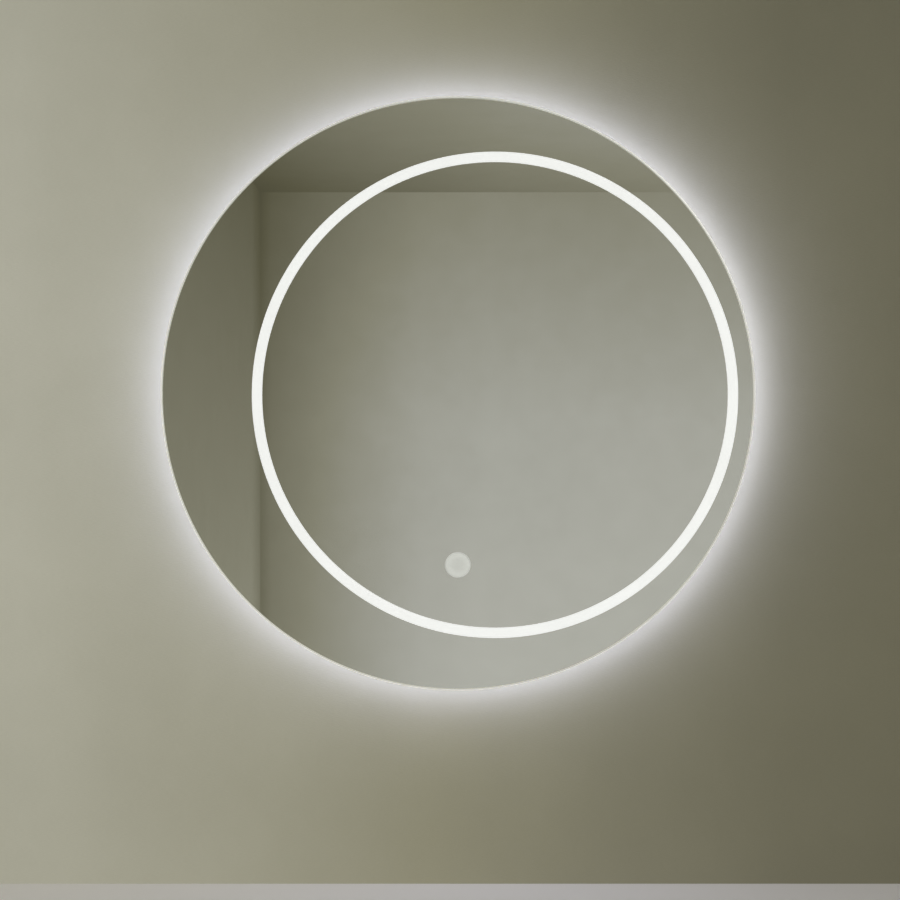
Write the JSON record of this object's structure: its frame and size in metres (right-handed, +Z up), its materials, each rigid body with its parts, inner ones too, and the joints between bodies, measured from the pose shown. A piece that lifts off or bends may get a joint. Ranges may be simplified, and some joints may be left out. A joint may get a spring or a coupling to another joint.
{
  "type": "lighted bathroom mirror",
  "caption": "Round frameless wall mirror with a glowing halo edge, an off-centre lit ring and a touch switch, hung on interlocking cleats.",
  "frame": {"origin": "on the wall plane, midway between the wall cleat's two screw slots; the middle of the glass is 230 mm below it", "axes": "+X to the right as you face the mirror, +Y into the wall, +Z up; the glass faces -Y"},
  "size_m": [0.7999, 0.0403, 0.8],
  "materials": {
    "galvanised_steel": "zinc-coated sheet, satin",
    "clear_glass": "polished float glass",
    "silver_coat": "silvered, painted grey behind",
    "foam_tape": "closed-cell foam",
    "hoop_aluminium": "satin anodised",
    "opal_cover": "opal, lit from inside",
    "led_sleeve": "clear sleeve over a phosphor line",
    "channel_paint": "white, satin",
    "ring_opal": "opal, lit from inside",
    "sensor_shell": "moulded, fine texture",
    "circuit_board": "white solder resist",
    "led_package": "phosphor-filled package",
    "touch_opal": "opal, lit from inside",
    "plate_paint": "light grey powder coat",
    "screw_zinc": "bright zinc",
    "pad_rubber": "soft matt rubber",
    "driver_shell": "moulded",
    "terminal_nylon": "moulded nylon",
    "tinned_brass": "tinned",
    "lead_sleeve": "flexible sleeve",
    "earth_sleeve": "green and yellow sleeve"
  },
  "bodies": {
    "wall_bracket": {"wall_cleat": "galvanised_steel"},
    "mirror": {"mirror_cleat": "galvanised_steel", "mirror_glass": "clear_glass", "silver_backing": "silver_coat", "bonding_tape": "foam_tape", "frame_hoop": "hoop_aluminium", "hoop_joiner": "hoop_aluminium", "halo_led_strip": "led_sleeve", "halo_cover": "opal_cover", "ring_channel": "channel_paint", "ring_led_strip": "led_sleeve", "ring_diffuser": "ring_opal", "touch_case": "sensor_shell", "touch_board": "circuit_board", "touch_leds": "led_package", "touch_lens": "touch_opal", "back_plate": "plate_paint", "back_plate_screws": "screw_zinc", "wall_pads": "pad_rubber", "inlet_grommet": "pad_rubber", "driver_case": "driver_shell", "driver_end_caps": "driver_shell", "foam_pads": "foam_tape", "terminal_block": "terminal_nylon", "earth_tab": "tinned_brass", "earth_lead": "earth_sleeve", "mains_lead": "lead_sleeve", "ring_lead": "lead_sleeve", "halo_lead": "lead_sleeve", "touch_lead": "lead_sleeve", "strip_connectors": "terminal_nylon", "lead_clips": "sensor_shell"}
  },
  "joints": [
    {"name": "mirror_lift", "type": "slide", "parent": "wall_bracket", "child": "mirror", "axis": [0, 0, 1], "range_m": [0, 0.014]}
  ]
}
